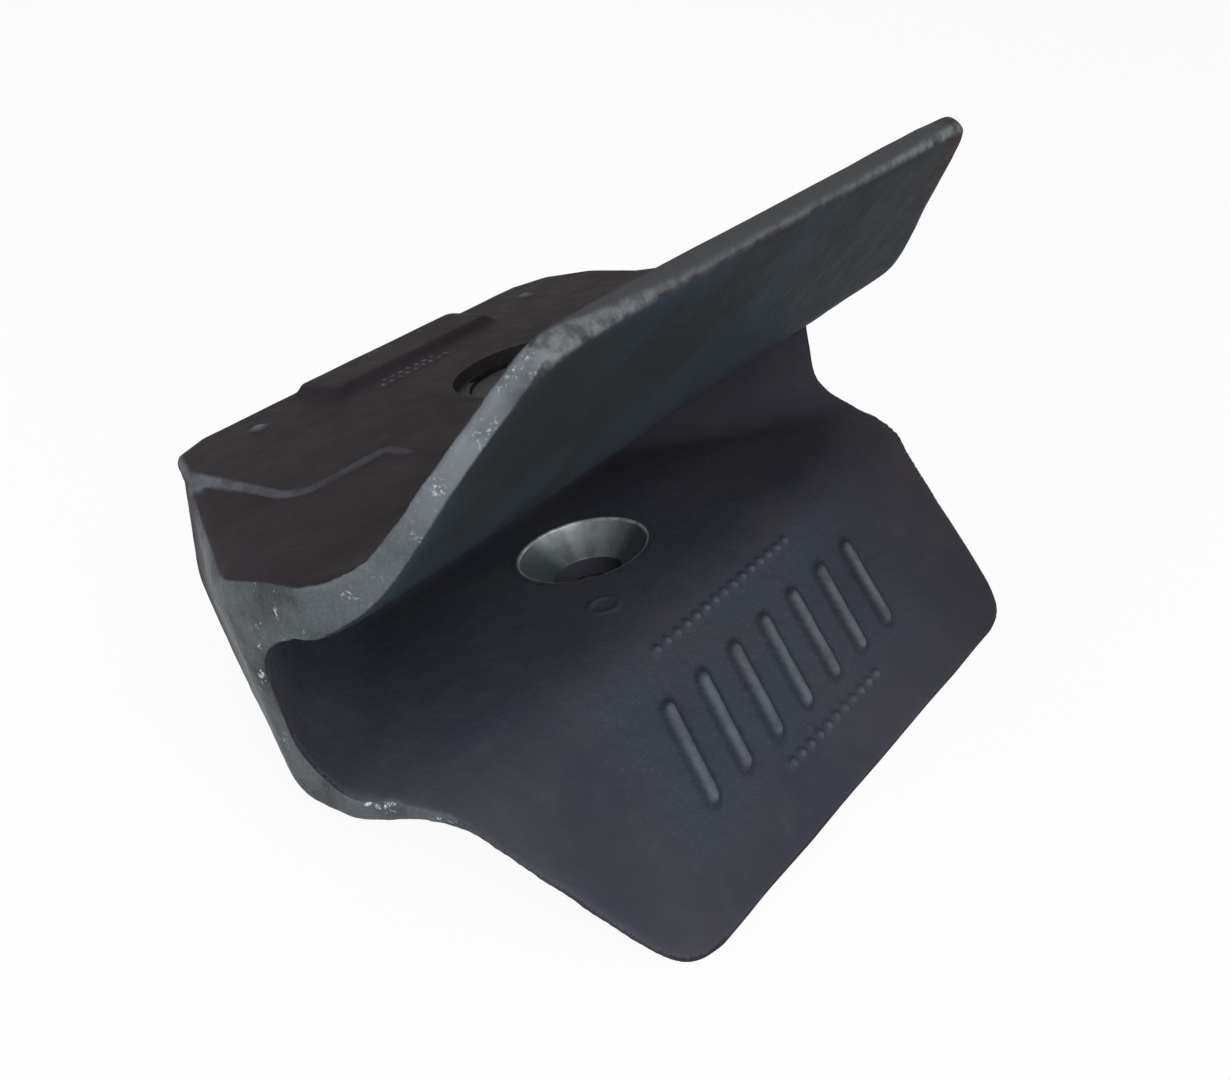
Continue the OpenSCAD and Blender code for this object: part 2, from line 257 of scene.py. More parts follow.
def edge_measure(mesh, rounds=9):
    """How far each point stands out from its surroundings, in millimetres."""
    places, normals, edges = vertex_places(mesh), vertex_normals(mesh), edges_of(mesh)
    spread = places
    for _ in range(rounds):
        spread = neighbour_mean(spread, edges, len(places))
    out = np.einsum("ij,ij->i", places - spread, normals) / MM
    for _ in range(2):
        out = neighbour_mean(out, edges, len(places))
    from_pin = np.hypot(places[:, 0], places[:, 1]) / MM
    return out * np.clip((from_pin - lock_bush_r - 1.5) / 3, 0, 1)


turning = edge_measure(casting.data)
keep_mark(casting.data, "edge_wear", turning)
print("edge measure from", round(float(turning.min()), 2), "to",
      round(float(turning.max()), 2), "mm")

# %% [markdown]
# ## Places with their own finish
# The side faces all round the casting are rubbed to bluish bare steel, the ends of the legs stay
# dark grey, and dust lies inside. The dust and the faces under the upper leg are also painted
# lighter and bluer, a painted cool light, and the scuff on the upper leg's end and the polished
# corner carry painted highlights. Each place is found from which way the surface faces and where
# it is, and is stored as a number from 0 to 1.

# %% Rim and leg ends
# Both legs leave the pocket at this angle, the upper one upwards and the lower one downwards.
LEG_ANGLE = math.radians(48)
LEG_ROOT = 62.5
LEG_OUT = np.array([math.sin(LEG_ANGLE), 0, math.cos(LEG_ANGLE)])
LOWER_SLOPE = np.array([math.cos(LEG_ANGLE), 0, -math.sin(LEG_ANGLE)])
UPPER_SLOPE = np.array([math.cos(LEG_ANGLE), 0, math.sin(LEG_ANGLE)])


def mark_outer_places(mesh, x, y, z, normals):
    """Bare rim, polished corner with painted glints, grey leg ends, the scuff across the upper one
    with a painted highlight along it, and its rust.
    """
    outwards = normals[:, 1] * np.sign(y)
    keep_mark(mesh, "outward", outwards)
    along = np.interp(x, [-66, -52, -22, 84, 130], [0, 0.35, 1, 1, 0.8])
    low = np.interp(z, [-40, -14], [0.28, 1])
    keep_mark(mesh, "rim", rise(np.abs(y), 92, 98) * along * low)
    keep_mark(mesh, "polish_and_glints", np.interp(x, [62, 84, 106, 124], [0, 0.25, 1, 0.7]) * (z > 50))
    facing_end = normals @ UPPER_SLOPE
    keep_mark(mesh, "leg_end", facing_end * (z > 92))
    keep_mark(mesh, "rust", rise(y, 84, 104) * rise(z, 96, 122))
    # The scuff runs along the inner edge of the upper leg's end, and it is partly a painted
    # highlight along that edge.
    through = (x - LEG_ROOT) * -LEG_OUT[0] + (z - pocket_top) * LEG_OUT[2]
    middle = np.interp(y, [-112, -92, -60], [4.6, 2.8, 1.6])
    width = np.interp(y, [-112, -92, -60, 60, 95], [6.0, 3.4, 1.8, 1.8, 2.6])
    highlight_streak = rise(width - np.abs(through - middle), 0, 1.8) * rise(facing_end, 0.2, 0.6) * (z > 80)
    streak_share = np.interp(y, [-112, -84, -40, 30, 70, 100, 110],
                           [0.95, 0.8, 0.35, 0.5, 0.8, 0.8, 0])
    keep_mark(mesh, "scuff_and_highlight", highlight_streak * streak_share)
    return outwards


# %% Sheltered faces
def mark_sheltered_places(mesh, x, y, z, normals, outwards):
    """Dust in the pocket and on the lower leg, painted lighter and bluer as cool light, and painted
    cool light under the upper leg.
    """
    far = np.interp(y, [10, 125], [1, 0.45])
    inside = (z > -3) & (z < pocket_top + 0.5) & (x > -70) & (np.abs(y) < 151)
    inside = inside * rise(-outwards, -0.66, -0.56)
    outer = rise(outwards, 0.03, 0.15) * rise(0.3 - normals[:, 0], 0, 0.2)
    outer *= rise(-normals[:, 2], -0.1, 0.1)
    inside *= 1 - outer * (z < 40)
    lower_leg = (x > 45) & (z < 3) & (normals[:, 2] > 0.2)
    on_slope = rise(normals @ LEG_OUT, 0.70, 0.97)
    # Dust, and painted cool light: these faces are painted lighter and bluer than the black paint.
    keep_mark(mesh, "dust_and_cool_light", np.where(lower_leg, 1 - 0.34 * on_slope, inside) * far)
    # Painted cool light: the faces under the upper leg are painted bluer and a little lighter, as
    # if lit by cool light.
    under_leg = (x > 20) & (z > 50) & (normals[:, 2] < -0.2)
    keep_mark(mesh, "cool_light_tint", under_leg * np.interp(y, [-90, 0, 90], [1, 0.95, 0.65]))


def soft_normals_of(mesh):
    normals, edges = vertex_normals(mesh), edges_of(mesh)
    for _ in range(2):
        normals = neighbour_mean(normals, edges, len(normals))
    return normals


x, y, z = vertex_places(casting.data).T / MM
soft_normals = soft_normals_of(casting.data)
outwards = mark_outer_places(casting.data, x, y, z, soft_normals)
mark_sheltered_places(casting.data, x, y, z, soft_normals, outwards)
print("places marked:", sorted(a.name for a in casting.data.attributes if a.data_type == "FLOAT"))

# %% [markdown]
# ## Raised marks
# Foundries put raised marks on a wear part. These are plain ones: a band of slanted bars on the
# lower leg, with a row of small studs above and below it, and two short rows of studs behind the
# bar on top. They are modelled and not painted on, because low light shows their flanks. A place
# on the leg is given by its distance along the lip and its distance down the slope.

# %% Shapes of the marks
def on_leg(places):
    """Distance along the lip, down the slope, and off the leg's upper face, in millimetres."""
    off = places / MM - np.array([LEG_ROOT, 0, 0])
    return places[:, 1] / MM, off @ LOWER_SLOPE, off @ LEG_OUT


def slanted_bars(along, down, middle=42.5, half=18, pitch=19.5, width=3.2):
    """How far outside the nearest of seven parallel bars a place lies."""
    shifted = along + 0.32 * (down - middle)
    nearest = np.clip(np.round(shifted / pitch), -3, 3)
    across = np.abs(shifted - nearest * pitch) - width
    ends = np.abs(down - middle) - half
    return np.hypot(np.maximum(across + width, 0), np.maximum(ends + width, 0)) - width


def stud_row(along, across, reach, pitch=5.8, radius=1.8, soft=0.9):
    """1 on the round studs of a row, and 0 between them."""
    last = math.floor(reach / pitch)
    nearest = np.clip(np.round(along / pitch), -last, last)
    return rise(radius - np.hypot(along - nearest * pitch, across), -soft, soft)


# %% Raised marks
places, normals = vertex_places(casting.data), vertex_normals(casting.data)
along, down, off = on_leg(places)
on_face = (np.abs(off) < 3) & (down > 0) & (down < 84) & (np.abs(along) < 100)
beside_bar = slanted_bars(along, down)
studs = np.maximum(stud_row(along, down - 9.5, 44), stud_row(along, down - 69.5, 32))
leg_marks = np.maximum(2.4 * rise(-beside_bar, -0.9, 2.6), 1.7 * studs) * on_face
# Painted shade: the foot of each raised mark is darkened, as if shaded where it meets the leg.
painted_shade_at_marks = rise(2.6 - beside_bar, 0, 2.2) * rise(beside_bar, -1.4, 0.2) * on_face
keep_mark(casting.data, "painted_shade_at_marks", painted_shade_at_marks)
on_top = z > pad_top - 8
top_marks = np.maximum(stud_row(y + 12, x + 55.4, 18, 4.2, 1.1, 0.7),
                       stud_row(y + 12, x + 59.6, 14, 4.2, 1.1, 0.7)) * on_top
ring = 0.5 * rise(0.9 - np.abs(np.hypot(x - 39, y + 32) - 5.6), -0.6, 0.6) * (np.abs(z) < 1.5)
raised = leg_marks + top_marks + ring
raised_normals = np.where((leg_marks > 0)[:, None], LEG_OUT, np.array([0, 0, 1.0]))
print("marks stand up to", round(float(raised.max()), 2), "mm")

# %% Lumps of the sand mould
def lump(places, size, seed, of=None):
    """Noise of about -1 to 1 at every point, with lumps of `size` millimetres."""
    shift = Vector((seed * 17.3, seed * 5.1, seed * 9.7))
    chosen = range(len(places)) if of is None else np.flatnonzero(of)
    made = np.zeros(len(places))
    for i in chosen:
        made[i] = noise.noise(Vector(places[i]) / (size * MM) + shift)
    return made


# Slow lumps everywhere, and a coarse skin round the marks, where the mould is patched.
rough_skin = on_face * rise(98 - np.abs(along), 0, 26) * rise(down, 0, 10) * rise(82 - down, 0, 20)
depth = 0.26 * lump(places, 26, 1) + 0.07 * lump(places, 9, 2)
depth += 0.30 * lump(places, 3.4, 3, rough_skin > 0) * rough_skin
outer = (np.abs(normals[:, 1]) > 0.6) & (np.abs(y) > 95)
depth += 0.16 * lump(places, 6, 4, outer) * outer
moved = places + normals * (depth * MM)[:, None] + raised_normals * (raised * MM)[:, None]
write_places(casting.data, moved)
print("lumps: up to", round(float(np.abs(depth).max()), 2), "mm")

# %% Shine on raised marks
# What stands up is rubbed, and it is also painted lighter as a highlight: the tops of marks, the
# nubs, and the line where the pad steps down. That line is a painted highlight, brightest beside
# the nose, and it fades towards the legs and the lock.
tilt_off = np.degrees(np.arccos(np.clip(soft_normals[:, 2], -1, 1)))
step_highlight = rise(tilt_off, 14, 24) * rise(-tilt_off, -75, -60) * (z > 50) * (x < 10)
step_highlight *= rise(np.abs(y), 56, 64) * rise(118 - np.abs(y), 0, 4)
step_highlight *= rise(np.hypot(x, y), lock_bush_r + 4, lock_bush_r + 8)
step_highlight *= np.interp(x, [-96, -60, -20, 10], [0.8, 1, 0.6, 0.3])
nub_highlights = rise(3.2 - np.hypot(x + 76, np.abs(y) - 74), 0, 1.5) * on_top
nub_highlights = np.maximum(nub_highlights, 0.7 * rise(top_marks, 0.4, 0.9))
rub_and_highlight = np.clip(np.maximum(0.8 * step_highlight, nub_highlights) + 0.6 * rise(raised, 0.9, 2.4), 0, 1)
keep_mark(casting.data, "rub_and_highlight", rub_and_highlight)
keep_mark(casting.data, "skin", rough_skin)
print("rubbed points:", int((rub_and_highlight > 0.3).sum()))

# %% [markdown]
# ## Thin the mesh and cut the holes
# The even squares were needed to shape the surface. Most of them lie on near-flat walls, so the
# mesh is thinned by joining edges. The busiest points, on edges and raised marks, are spared,
# because long triangles there would make the edge of the worn steel ragged. Then the holes are cut.

# %% Thin the flat walls
# The boxes don't show these: the seat's spigot and shoulder, and the bore below the lock bush.
seat_spigot_r, seat_shoulder, lock_bore_r = 19.0, -13.0, 27.7
from_pin = np.hypot(x, y)
by_hole = (np.abs(from_pin - lock_bush_r) < 3.5) & (z > pad_top - 4)
by_hole |= (np.abs(from_pin - seat_bush_r) < 3) & (np.abs(z) < 3)
by_hole |= (np.abs(from_pin - seat_spigot_r) < 3) & (z < seat_shoulder)
by_hole |= (np.abs(from_pin - lock_bore_r) < 3) & (np.abs(z - pocket_top) < 3)
busy = np.abs(turning) + 2.0 * (leg_marks > 0.02) + (top_marks > 0.02) + 0.6 * step_highlight
busy += 3 * by_hole
points_spared, triangles_wanted = 44000, 172000
spared = np.argsort(busy)[-points_spared:]
group = casting.vertex_groups.new(name="spared")
group.add(spared.tolist(), 1.0, "REPLACE")
thin = casting.modifiers.new("thin_flat_walls", "DECIMATE")
thin.ratio = triangles_wanted / (2 * len(casting.data.polygons))
thin.vertex_group = "spared"
thin.invert_vertex_group = True
settle(casting)
print("spared:", len(spared), "points, least busy", round(float(busy[spared[0]]), 3))

# %% Lathe
def lathe(profile, steps=128, name="turned"):
    """Turns a profile of (radius, height) in millimetres round Z."""
    work = bmesh.new()
    points = [work.verts.new((r * MM, 0, z * MM)) for r, z in profile]
    edges = [work.edges.new(pair) for pair in zip(points, points[1:])]
    if profile[0][0] > 0 or profile[-1][0] > 0:
        edges.append(work.edges.new((points[-1], points[0])))
    bmesh.ops.spin(work, geom=points + edges, cent=(0, 0, 0), axis=(0, 0, 1), dvec=(0, 0, 0),
                   angle=2 * math.pi, steps=steps, use_merge=True)
    bmesh.ops.remove_doubles(work, verts=work.verts, dist=1e-7)
    bmesh.ops.recalc_face_normals(work, faces=work.faces)
    mesh = bpy.data.meshes.new(name)
    work.to_mesh(mesh)
    work.free()
    return show(name, mesh)


# %% Cut the holes
# Each cutter reaches past the surfaces that it opens: over the pad, into the pocket or under
# the keel.
above_pad, in_pocket, past = 95, 50, 8
cutter_low = lathe([(0, keel - past), (seat_spigot_r, keel - past),
                    (seat_spigot_r, seat_shoulder), (seat_bush_r, seat_shoulder),
                    (seat_bush_r, past), (0, past)], name="seat_cutter")
cutter_high = lathe([(0, in_pocket), (lock_bore_r, in_pocket), (lock_bore_r, lock_bush_low),
                     (lock_bush_r, lock_bush_low), (lock_bush_r, above_pad), (0, above_pad)],
                    name="lock_cutter")
dowel_low, dowel_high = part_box("bush_dowel")
dowel_r = (dowel_high.y - dowel_low.y) / 2 / MM
cutter_dowel = lathe([(0, dowel_low.z / MM), (dowel_r, dowel_low.z / MM), (dowel_r, above_pad),
                      (0, above_pad)], steps=48, name="dowel_cutter")
for vertex in cutter_dowel.data.vertices:
    vertex.co.x += (dowel_low.x + dowel_high.x) / 2
    vertex.co.y += (dowel_low.y + dowel_high.y) / 2
for cutter in (cutter_low, cutter_high, cutter_dowel):
    cut = casting.modifiers.new(cutter.name, "BOOLEAN")
    cut.object = cutter
    cut.operation = "DIFFERENCE"
    cut.solver = "EXACT"
settle(casting)
for cutter in (cutter_low, cutter_high, cutter_dowel):
    bpy.data.objects.remove(cutter)
print("holes cut")

# %% Shade and count
for face in casting.data.polygons:
    face.use_smooth = True
casting.data.set_sharp_from_angle(angle=math.radians(50))
even = casting.modifiers.new("shade_by_area", "WEIGHTED_NORMAL")
even.keep_sharp = True
settle(casting)
casting.data.calc_loop_triangles()
print("casting with holes:", len(casting.data.loop_triangles), "triangles, marks kept:",
      sorted(a.name for a in casting.data.attributes if a.data_type == "FLOAT"))

# %% [markdown]
# ## Nodes, one line each
# Every finish here is a tree of nodes. It could be wired by hand in the node editor, but written
# out it can be read and changed. A written tree is easiest to read when each node is made in one
# line. `add` makes a node and sets its inputs, and an input that is given a socket is linked
# instead of set.

# %% Node helpers
def add(tree, kind, inputs=None, **settings):
    node = tree.nodes.new("ShaderNode" + kind)
    for name, value in settings.items():
        setattr(node, name, value)
    for name, value in (inputs or {}).items():
        if isinstance(value, bpy.types.NodeSocket):
            tree.links.new(value, node.inputs[name])
        else:
            node.inputs[name].default_value = value
    return node


def new_material(name):
    """An empty tree with one surface shader in it."""
    material = bpy.data.materials.new(name)
    material.use_nodes = True
    tree = material.node_tree
    tree.nodes.clear()
    surface = add(tree, "BsdfPrincipled")
    add(tree, "OutputMaterial", {"Surface": surface.outputs[0]})
    return material, tree, surface


def place(tree):
    """Where a point lies on the object, in metres."""
    return add(tree, "TexCoord").outputs["Object"]


# %% Patterns and blends
def speckle(tree, where, size, detail=3.0, rough=0.55):
    """Noise from 0 to 1, with its largest spots about `size` metres apart."""
    made = add(tree, "TexNoise", {"Vector": where, "Scale": 1 / size, "Detail": detail,
                                  "Roughness": rough})
    return made.outputs["Fac"]


def ramp(tree, value, low, high, out_low=0.0, out_high=1.0):
    """Goes smoothly from `out_low` to `out_high` as the value goes from `low` to `high`."""
    made = add(tree, "MapRange", {"Value": value, "From Min": low, "From Max": high,
                                  "To Min": out_low, "To Max": out_high},
               interpolation_type="SMOOTHSTEP")
    return made.outputs[0]


def blend_colours(tree, amount, first, second):
    made = add(tree, "Mix", {"Factor": amount}, data_type="RGBA")
    for slot, colour in ((6, first), (7, second)):
        if isinstance(colour, bpy.types.NodeSocket):
            tree.links.new(colour, made.inputs[slot])
        else:
            made.inputs[slot].default_value = (*colour, 1)
    return made.outputs[2]


def blend_values(tree, amount, first, second):
    return add(tree, "Mix", {0: amount, 2: first, 3: second}).outputs[0]


def maths(tree, operation, a, b):
    return add(tree, "Math", {0: a, 1: b}, operation=operation).outputs[0]


def times(tree, a, b):
    return maths(tree, "MULTIPLY", a, b)


def stored(tree, name):
    """A number that was stored on the mesh with `keep_mark`."""
    return add(tree, "Attribute", attribute_name=name).outputs["Fac"]

# %% [markdown]
# ## Paint on cast steel
# The casting carries black satin paint over a sand-cast skin. It is a little brown on top. Dust
# makes the sheltered faces lighter, and they are painted bluer and lighter still, a painted cool
# light. The rubbed rim shows bluish steel with bright specks where it was knocked, and painted
# glints where it is polished. Raised marks, nubs and the step of the pad carry painted highlights,
# and the foot of each raised mark carries painted shade. Such a finish could be painted by hand as
# an image. Here noise and the marks stored on the mesh do it, so it stays sharp at any size. Each
# coat is a small function that returns a colour, and the last cell lays them over each other as on
# the real part.

# %% Patterns in the paint
def paint_patterns(tree):
    """Noise at the sizes that the finish shows, from broad clouds down to single grains."""
    where = place(tree)
    return {
        "where": where,
        "warm": ramp(tree, speckle(tree, where, 60 * MM, 3), 0.38, 0.62),
        "patches": speckle(tree, where, 22 * MM, 3, 0.55),
        "mottle": speckle(tree, where, 9 * MM, 4, 0.6),
        "pits": speckle(tree, where, 3.2 * MM, 2, 0.5),
        "grain": speckle(tree, where, 1.1 * MM, 3, 0.6),
    }


# %% Black paint, and dust with painted cool light
def black_paint(tree, seen):
    coat = blend_colours(tree, seen["warm"], (0.0275, 0.0228, 0.0260), (0.0325, 0.0268, 0.0303))
    faded = ramp(tree, seen["mottle"], 0.5, 0.85, 0, 0.25)
    return blend_colours(tree, faded, coat, (0.040, 0.035, 0.038))


def painted_cool_light(tree, seen):
    # Painted cool light: a bluer, lighter copy of the black paint for the faces under the upper
    # leg.
    return blend_colours(tree, seen["warm"], (0.0235, 0.0330, 0.0395), (0.0215, 0.0240, 0.0265))


def dust_and_cool_light_paint(tree, seen):
    """Dust over the paint, painted lighter and bluer as cool light: bluish and sparkling on coarse
    skin, with painted shade round the raised marks.
    """
    skin = stored(tree, "skin")
    dust = blend_colours(tree, seen["warm"], (0.052, 0.056, 0.075), (0.063, 0.065, 0.079))
    cloudy = ramp(tree, seen["mottle"], 0.45, 0.8, 0, 0.3)
    dust = blend_colours(tree, cloudy, dust, (0.086, 0.093, 0.117))
    bluish = times(tree, skin, ramp(tree, seen["patches"], 0.34, 0.6, 0.4, 1))
    dust = blend_colours(tree, times(tree, bluish, 0.7), dust, (0.049, 0.068, 0.092))
    # Painted shade round the foot of the raised marks.
    dust = blend_colours(tree, times(tree, stored(tree, "painted_shade_at_marks"), 0.6), dust, (0.015, 0.019, 0.026))
    sparkle = times(tree, skin, ramp(tree, seen["grain"], 0.56, 0.70))
    return blend_colours(tree, times(tree, sparkle, 0.3), dust, (0.115, 0.135, 0.165))


# %% Wear of the paint, and painted highlights
def worn_paint_and_highlights(tree, seen, paint):
    """Adds specks, the grey leg ends, rust, rubbed marks with painted highlights, the scuff with a
    painted highlight along it, and the rubbed edges.
    """
    mottle = seen["mottle"]
    specks = times(tree, ramp(tree, seen["grain"], 0.70, 0.76), 0.3)
    paint = blend_colours(tree, specks, paint, (0.13, 0.13, 0.135))
    end = ramp(tree, stored(tree, "leg_end"), 0.64, 0.78)
    paint = blend_colours(tree, end, paint, (0.062, 0.063, 0.066))
    rust = times(tree, stored(tree, "rust"), ramp(tree, mottle, 0.3, 0.6, 0.3, 0.8))
    paint = blend_colours(tree, rust, paint, (0.040, 0.024, 0.019))
    # Painted highlight, with some real rubbing: the tops of raised marks, the nubs and the step of
    # the pad are painted lighter.
    rub_and_highlight = times(tree, stored(tree, "rub_and_highlight"), ramp(tree, mottle, 0.3, 0.6, 0.45, 1))
    paint = blend_colours(tree, rub_and_highlight, paint, (0.15, 0.165, 0.185))
    # Painted highlight along the inner edge of the upper leg's end, with a real scuff in it.
    broken = ramp(tree, speckle(tree, seen["where"], 5 * MM, 4, 0.65), 0.36, 0.6, 0.15, 1)
    scuff_and_highlight = times(tree, stored(tree, "scuff_and_highlight"), broken)
    paint = blend_colours(tree, scuff_and_highlight, paint, (0.16, 0.175, 0.185))
    uneven = times(tree, maths(tree, "SUBTRACT", mottle, 0.5), 0.9)
    edge = maths(tree, "ADD", stored(tree, "edge_wear"), uneven)
    worn = times(tree, ramp(tree, edge, 0.42, 0.8), maths(tree, "SUBTRACT", 1.0, end))
    return blend_colours(tree, times(tree, worn, 0.45), paint, (0.12, 0.125, 0.13))


# %% Bare steel of the rim
def bare_steel(tree, seen):
    """Bluish grey, brighter where it is polished, with specks where it was knocked and painted
    glints on the polished part.
    """
    mottle, patches, grain = seen["mottle"], seen["patches"], seen["grain"]
    polish_and_glints = stored(tree, "polish_and_glints")
    steel = blend_colours(tree, ramp(tree, patches, 0.38, 0.64),
                          (0.047, 0.053, 0.057), (0.082, 0.094, 0.102))
    shiny = times(tree, polish_and_glints, ramp(tree, patches, 0.3, 0.6, 0.5, 1))
    steel = blend_colours(tree, shiny, steel, (0.17, 0.19, 0.205))
    steel = blend_colours(tree, ramp(tree, grain, 0.4, 0.66, 0, 0.15), steel, (0.18, 0.20, 0.215))
    knocked = times(tree, ramp(tree, mottle, 0.60, 0.68), ramp(tree, grain, 0.52, 0.62))
    steel = blend_colours(tree, knocked, steel, (0.50, 0.53, 0.56))
    # Painted glints: bright specks of reflected light painted into the colour of the polished part.
    painted_glints = times(tree, ramp(tree, mottle, 0.48, 0.62), ramp(tree, grain, 0.54, 0.66))
    painted_glints = times(tree, polish_and_glints, times(tree, painted_glints, 0.75))
    return blend_colours(tree, painted_glints, steel, (0.42, 0.46, 0.49))


# %% Painted casting
def painted_cast_steel():
    material, tree, surface = new_material("painted_cast_steel")
    seen = paint_patterns(tree)
    paint = black_paint(tree, seen)
    paint = blend_colours(tree, stored(tree, "cool_light_tint"), paint, painted_cool_light(tree, seen))
    paint = blend_colours(tree, stored(tree, "dust_and_cool_light"), paint, dust_and_cool_light_paint(tree, seen))
    paint = worn_paint_and_highlights(tree, seen, paint)
    rim = times(tree, stored(tree, "rim"), ramp(tree, stored(tree, "outward"), 0.58, 0.70))
    rim = times(tree, rim, ramp(tree, seen["patches"], 0.2, 0.5, 0.72, 1))
    colour = blend_colours(tree, rim, paint, bare_steel(tree, seen))
    tree.links.new(colour, surface.inputs["Base Color"])
    rough = blend_values(tree, rim, ramp(tree, seen["mottle"], 0.3, 0.7, 0.50, 0.60), 0.47)
    tree.links.new(rough, surface.inputs["Roughness"])
    surface.inputs["Specular IOR Level"].default_value = 0.012
    tree.links.new(times(tree, rim, 0.3), surface.inputs["Metallic"])
    coarse_grain = times(tree, seen["grain"], 3.0)
    grainy = blend_values(tree, stored(tree, "skin"), seen["grain"], coarse_grain)
    fine = add(tree, "Bump", {"Height": grainy, "Strength": 0.4, "Distance": 0.3 * MM})
    deep = add(tree, "Bump", {"Height": seen["pits"], "Strength": 0.45, "Distance": 0.5 * MM,
                              "Normal": fine.outputs[0]})
    tree.links.new(deep.outputs[0], surface.inputs["Normal"])
    return material


paint = painted_cast_steel()
casting.data.materials.clear()
casting.data.materials.append(paint)
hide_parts("shroud_casting")
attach(casting, "shroud")
print("paint:", len(paint.node_tree.nodes), "nodes")

# %% [markdown]
# ## The cone seat
# The lock pin's coned tip sits in this hardened bush. The cone is turned on a lathe, so its fine
# marks run round it and light gathers in streaks down its wall: that is anisotropy, with the
# tangent running round Z. One side of the cone is painted lighter, a painted highlight, with
# painted streaks down its wall. The lip at the top is rubbed bright and painted brighter still, a
# painted highlight, and the flat ring outside it is painted with the casting, so no seam shows.

# %% Steel of the seat
def machined_steel():
    material, tree, surface = new_material("machined_cone")
    where = place(tree)
    flat = add(tree, "VectorMath", {0: where, 1: (1, 1, 0)}, operation="MULTIPLY").outputs[0]
    round_it = add(tree, "VectorMath", {0: flat}, operation="NORMALIZE").outputs[0]
    # Painted streaks: light streaks down the wall, painted into the colour.
    painted_streaks = add(tree, "TexNoise", {"Vector": round_it, "Scale": 2.6, "Detail": 3.0})
    film = speckle(tree, where, 7 * MM, 3)
    # Painted highlight: the side of the cone that faces this way is painted lighter.
    painted_lit_side = add(tree, "VectorMath", {0: round_it, 1: (-0.61, 0.79, 0)},
               operation="DOT_PRODUCT").outputs["Value"]
    uneven = ramp(tree, painted_streaks.outputs["Fac"], 0.3, 0.6, 0.65, 1)
    worn = times(tree, ramp(tree, painted_lit_side, 0.35, 0.98), uneven)
    colour = blend_colours(tree, worn, (0.16, 0.19, 0.20), (0.66, 0.73, 0.75))
    colour = blend_colours(tree, ramp(tree, film, 0.45, 0.75, 0, 0.4), colour, (0.13, 0.15, 0.155))
    tree.links.new(colour, surface.inputs["Base Color"])
    surface.inputs["Metallic"].default_value = 0.85
    surface.inputs["Roughness"].default_value = 0.34
    surface.inputs["Anisotropic"].default_value = 0.55
    turned = add(tree, "Tangent", direction_type="RADIAL", axis="Z")
    tree.links.new(turned.outputs[0], surface.inputs["Tangent"])
    return material


def rubbed_lip_highlight():
    material, tree, surface = new_material("rubbed_lip_highlight")
    where = place(tree)
    spots = speckle(tree, where, 5 * MM, 3)
    # Painted highlight: the rubbed lip is made bright in its own colour, so that its line shows
    # under any light.
    colour = blend_colours(tree, ramp(tree, spots, 0.35, 0.65),
                           (0.30, 0.33, 0.34), (0.60, 0.63, 0.64))
    tree.links.new(colour, surface.inputs["Base Color"])
    surface.inputs["Metallic"].default_value = 0.35
    surface.inputs["Roughness"].default_value = 0.3
    return material


# %% Seat bush
hole_r, lip_r = 14.0, 27.1
lip_bottom, cone_bottom = -0.95, -15
lip = [(lip_r, 0), (26.8, -0.04), (26.45, -0.2), (26.2, -0.5), (26.05, -0.9)]
foot = [(14.5, -10.75), (14.15, -11.1), (hole_r, -11.7)]
seat_bush = lathe([(hole_r, keel), (seat_spigot_r, keel), (seat_spigot_r, seat_shoulder),
                   (seat_bush_r, seat_shoulder), (seat_bush_r, 0)] + lip + foot, name="cone_seat")
for finish in (machined_steel(), paint, rubbed_lip_highlight()):
    seat_bush.data.materials.append(finish)
# The faces outside the lip and below the cone are painted, and the rounded lip is rubbed steel
# painted bright as a highlight.
for face in seat_bush.data.polygons:
    face.use_smooth = True
    away, height = math.hypot(face.center.x, face.center.y) / MM, face.center.z / MM
    if away > lip_r or height < cone_bottom:
        face.material_index = 1
    elif height > lip_bottom:
        face.material_index = 2
# The painted ring takes the dust and the painted cool light of the faces round it.
keep_mark(seat_bush.data, "dust_and_cool_light", np.ones(len(seat_bush.data.vertices)))
seat_bush.data.set_sharp_from_angle(angle=math.radians(30))
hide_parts("lower_seat_bush")
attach(seat_bush, "shroud")
print("seat bush:", len(seat_bush.data.polygons), "faces")

# %% [markdown]
# ## The turn lock
# A cap with two lugs turns a quarter round in its bush and holds the pin down. A rubber plug keeps
# dirt out of its hexagon socket. These parts are machined or moulded, so their engineering shapes
# are right as they are. They keep them and get their finishes here, each with a fine mottle. The
# bush and the cap are darker than the casting's paint, painted shade for the recess they sit in.

# %% Lock finishes
def plain_finish(name, dark, light, rough, metallic=0.0):
    material, tree, surface = new_material(name)
    where = place(tree)
    spots = speckle(tree, where, 2.0 * MM, 4)
    colour = blend_colours(tree, ramp(tree, spots, 0.35, 0.65), dark, light)
    tree.links.new(colour, surface.inputs["Base Color"])
    uneven = ramp(tree, spots, 0.2, 0.8, rough - 0.08, rough + 0.08)
    tree.links.new(uneven, surface.inputs["Roughness"])
    surface.inputs["Metallic"].default_value = metallic
    surface.inputs["Specular IOR Level"].default_value = 0.5 if metallic else 0.1
    bump = add(tree, "Bump", {"Height": spots, "Strength": 0.3, "Distance": 0.15 * MM})
    tree.links.new(bump.outputs[0], surface.inputs["Normal"])
    return material


